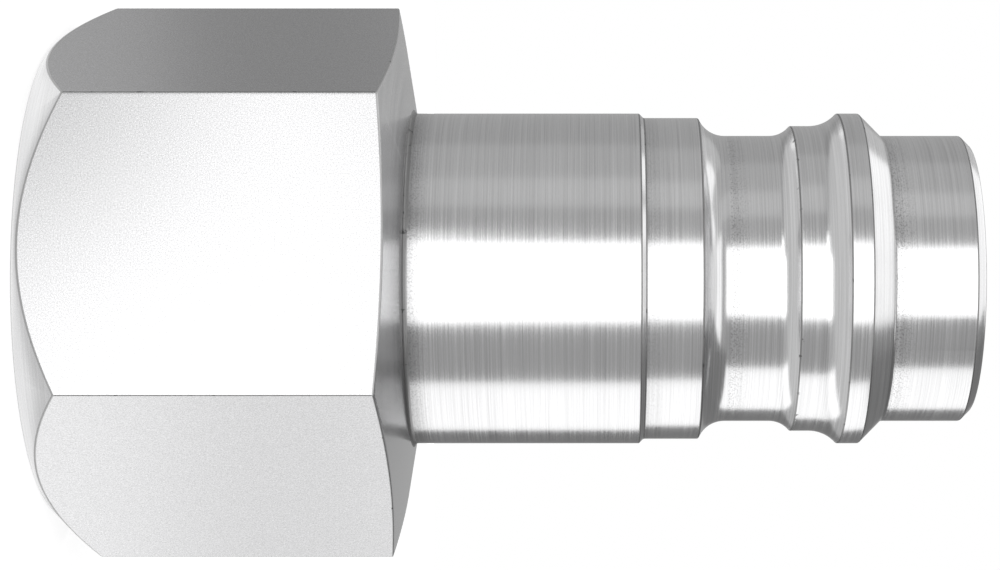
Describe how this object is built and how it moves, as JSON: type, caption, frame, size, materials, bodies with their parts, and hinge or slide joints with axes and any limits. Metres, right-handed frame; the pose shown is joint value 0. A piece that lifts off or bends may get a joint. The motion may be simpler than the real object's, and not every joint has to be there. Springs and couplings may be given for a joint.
{
  "type": "quick coupling nipple",
  "caption": "Valved quick coupling plug with a hexagon, a female pipe thread port, a lock groove, a collar and a sprung poppet behind the nose.",
  "frame": {"origin": "centre of the flat port face, where the part stands", "axes": "+Z along the turning axis from the threaded port to the nose; two flats of the hexagon face +Y and -Y"},
  "size_m": [0.0312, 0.027, 0.0505],
  "materials": {
    "body_steel": "bright turned steel with fine turning lines, satin hexagon flats",
    "valve_steel": "turned stainless steel",
    "seal_rubber": "smooth black rubber",
    "spring_steel": "drawn spring wire",
    "ring_steel": "oiled dark spring steel"
  },
  "bodies": {
    "nipple": {"nipple_body": "body_steel", "valve_guide": "valve_steel", "valve_spring": "spring_steel", "retaining_ring": "ring_steel"},
    "poppet": {"valve_poppet": "valve_steel", "poppet_seal": "seal_rubber"}
  },
  "joints": [
    {"name": "poppet_slide", "type": "slide", "parent": "nipple", "child": "poppet", "axis": [0, 0, 1], "range_m": [-0.0045, 0], "stiffness_N_per_m": 1500, "springref_m": 0.004, "deforming": ["valve_spring"]}
  ]
}
